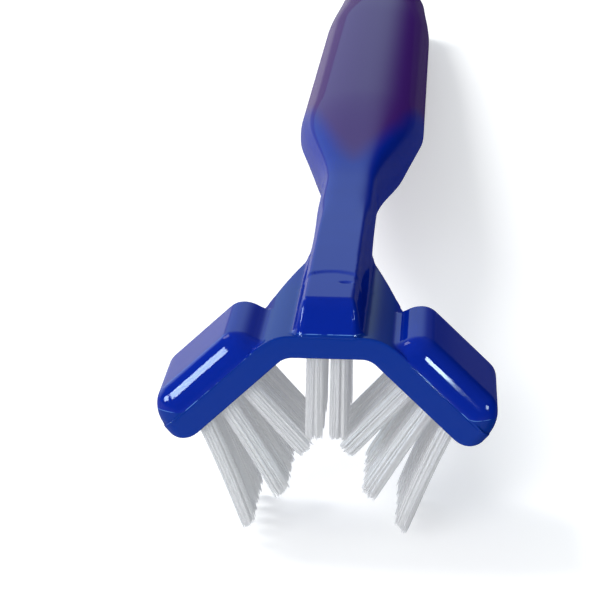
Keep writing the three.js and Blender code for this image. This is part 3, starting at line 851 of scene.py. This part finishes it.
# The studio
# A wide floor with a painted pool of light, white round the brush and grey further out, under a sky that is
# pale behind on the left and dim on the right. Two soft lamps light the brush, and boxes of light show only
# as streaks in its gloss.

FLOOR_SIZE = 1.6
FLOOR_WHITE = (0.85, 0.85, 0.85, 1)
FLOOR_GREY = (0.42, 0.42, 0.43, 1)
FLOOR_LIFT = 0.42
NO_LIGHT = (0, 0, 0, 1)
POOL_MIDDLE = (-0.045, -0.01, 0)
POOL_REACH = (0.095, 0.14, 0)
POOL_FADE = 0.07

floor_mesh = bpy.data.meshes.new("floor")
corners = [(x * FLOOR_SIZE / 2, y * FLOOR_SIZE / 2, 0) for x, y in ((-1, -1), (1, -1), (1, 1), (-1, 1))]
floor_mesh.from_pydata(corners, [], [(0, 1, 2, 3)])
floor = bpy.data.objects.new("floor", floor_mesh)
bpy.context.scene.collection.objects.link(floor)
paper, wires = new_material("white_paper")
off_middle = wires.node("ShaderNodeTexCoord", take="object") - POOL_MIDDLE
off_middle = wires.node("ShaderNodeVectorMath", {"operation": "ABSOLUTE"}, vector=off_middle)
outside = wires.maths("MAXIMUM", off_middle - POOL_REACH, (0, 0, 0))
outside = wires.node("ShaderNodeVectorMath", {"operation": "LENGTH"}, vector=outside, take="value")
# Painted light: the floor's colour is a pool of light, white round the brush and grey further out.
painted_light_pool = blend(ramp(outside, 0.0, POOL_FADE), FLOOR_WHITE, FLOOR_GREY)
camera_ray, gloss_ray, glass_ray = wires.node(
    "ShaderNodeLightPath", take=("is_camera_ray", "is_glossy_ray", "is_transmission_ray"))
finish = wires.node("ShaderNodeBsdfPrincipled", base_color=painted_light_pool, roughness=1.0, specular_ior_level=0.0,
                    emission_color=blend(camera_ray + gloss_ray + glass_ray, NO_LIGHT, painted_light_pool),
                    emission_strength=FLOOR_LIFT)
wires.node("ShaderNodeOutputMaterial", surface=finish)
floor_mesh.materials.append(paper)

SKY_LEFT = (0.74, 1.02, 1.15, 1)
SKY_RIGHT = (0.17, 0.18, 0.20, 1)
SKY_ABOVE = (0.55, 0.57, 0.59, 1)
SKY_FRONT = (0.36, 0.37, 0.38, 1)
RIGHT_EDGE = (-0.03, 0.15)
FRONT_EDGE = (0.2, 0.7)
ABOVE_EDGE = (0.4, 0.8)
world = bpy.data.worlds.new("studio")
world.use_nodes = True
world.node_tree.nodes.clear()
bpy.context.scene.world = world
wires = Wire(world.node_tree)
direction = wires.node("ShaderNodeTexCoord", take="generated")
sideways, backwards, upwards = wires.node("ShaderNodeSeparateXYZ", vector=direction, take=("x", "y", "z"))
sky = blend(ramp(sideways, *RIGHT_EDGE), SKY_LEFT, SKY_RIGHT)
sky = blend(ramp(backwards, *FRONT_EDGE), SKY_FRONT, sky)
sky = blend(ramp(upwards, *ABOVE_EDGE), sky, SKY_ABOVE)
wires.node("ShaderNodeOutputWorld", surface=wires.node("ShaderNodeBackground", color=sky, strength=1.0))

# Lamps: their aims are points of the upright brush, in millimetres. Distances and sizes are in metres.
ACROSS_LINE = (1, 0, 0)
LEFT_WING_LINE = (math.cos(WING_ANGLE), 0, math.sin(WING_ANGLE))
RIGHT_WING_LINE = (math.cos(WING_ANGLE), 0, -math.sin(WING_ANGLE))
HEAD_MIDDLE = (0, HEAD_LENGTH / 2, 0)
STREAK_DISTANCE = 0.5
STREAK_COLOUR = (0.6, 0.8, 1.0)
STREAK_BOXES = {
    "left_pad_box": dict(aim=(-9.8, 0.4, -1.75), direction=(-0.694, -0.597, 0.403),
                         width=0.022, height=0.2, watts=1.35, level=LEFT_WING_LINE),
    "right_pad_box": dict(aim=(7.2, 0.4, 0.55), direction=(0.4953, -0.822, 0.2764),
                          width=0.0105, height=0.09, watts=0.5, level=RIGHT_WING_LINE),
    "left_edge_box": dict(aim=(-2.0, 0.4, 2.4), direction=(-0.86, -0.42, 0.26),
                          width=0.17, height=0.14, watts=6.4),
    "right_edge_box": dict(aim=(2.0, 0.4, 2.4), direction=(0.82, -0.48, 0.28),
                           width=0.12, height=0.1, watts=3.2),
    "left_rim_box": dict(aim=HEAD_MIDDLE, direction=(-0.75, 0.6, 0.1), width=0.5, height=0.5, watts=3.5),
}


def soft_lamp(name, aim, direction, distance, width, height, watts, level=ACROSS_LINE):
    """A soft box that faces a point of the brush, with its width along a given line."""
    lamp = bpy.data.lights.new(name, "AREA")
    lamp.shape = "RECTANGLE"
    lamp.size = width
    lamp.size_y = height
    lamp.energy = watts
    holder = bpy.data.objects.new(name, lamp)
    facing = Vector(direction).normalized()
    rise = facing.cross(Vector(level)).normalized()
    axes = turn @ Matrix((rise.cross(facing), rise, facing)).transposed()
    place = Vector(laid_down(aim)) + axes.col[2] * distance
    holder.matrix_world = Matrix.LocRotScale(place, axes.to_quaternion(), None)
    bpy.context.scene.collection.objects.link(holder)
    return holder


soft_lamp("key_soft_box", aim=HEAD_MIDDLE, direction=(-0.6, 0.3, 0.75), distance=1.0, width=0.4, height=0.4,
          watts=5.5)
fill = soft_lamp("left_fill", aim=HEAD_MIDDLE, direction=(-0.45, -0.85, 0.25), distance=0.8, width=0.6,
                 height=0.4, watts=5.2)
fill.visible_glossy = False
for name, box in STREAK_BOXES.items():
    streak = soft_lamp(name, distance=STREAK_DISTANCE, **box)
    streak.data.color = STREAK_COLOUR
    streak.visible_diffuse = False

# The camera stands low before the head. Its angles are those to the upright brush, whose nose it shows at a
# given pixel of the picture.
CAMERA_AZIMUTH = math.radians(2.783)
CAMERA_ELEVATION = math.radians(13.199)
CAMERA_ROLL = math.radians(0.876)
CAMERA_DISTANCE = 225.246
FOCAL_PIXELS = 2989.14
PHOTO_SIZE = (590, 591)
NOSE_PIXEL = (327.089, 359.362)
SENSOR_WIDTH = 36.0
CLIP_START = 0.01

camera_data = bpy.data.cameras.new("camera")
camera_data.sensor_width = SENSOR_WIDTH
camera_data.sensor_fit = "HORIZONTAL"
camera_data.lens = FOCAL_PIXELS / PHOTO_SIZE[0] * SENSOR_WIDTH
camera_data.clip_start = CLIP_START
forward = Vector((-math.sin(CAMERA_AZIMUTH) * math.cos(CAMERA_ELEVATION),
                  math.cos(CAMERA_AZIMUTH) * math.cos(CAMERA_ELEVATION), -math.sin(CAMERA_ELEVATION)))
level = Vector((math.cos(CAMERA_AZIMUTH), math.sin(CAMERA_AZIMUTH), 0))
rise = level.cross(forward)
right = level * math.cos(CAMERA_ROLL) + rise * math.sin(CAMERA_ROLL)
up = rise * math.cos(CAMERA_ROLL) - level * math.sin(CAMERA_ROLL)
to_nose = forward + right * (NOSE_PIXEL[0] - PHOTO_SIZE[0] / 2) / FOCAL_PIXELS
to_nose = to_nose - up * (NOSE_PIXEL[1] - PHOTO_SIZE[1] / 2) / FOCAL_PIXELS
camera = bpy.data.objects.new("camera", camera_data)
facing = turn @ Matrix((right, up, -forward)).transposed()
camera_place = Vector(laid_down(-to_nose * CAMERA_DISTANCE))
camera.matrix_world = Matrix.LocRotScale(camera_place, facing.to_quaternion(), None)
bpy.context.scene.collection.objects.link(camera)
bpy.context.scene.camera = camera
bpy.context.scene.view_settings.view_transform = "Standard"

bpy.context.view_layer.update()
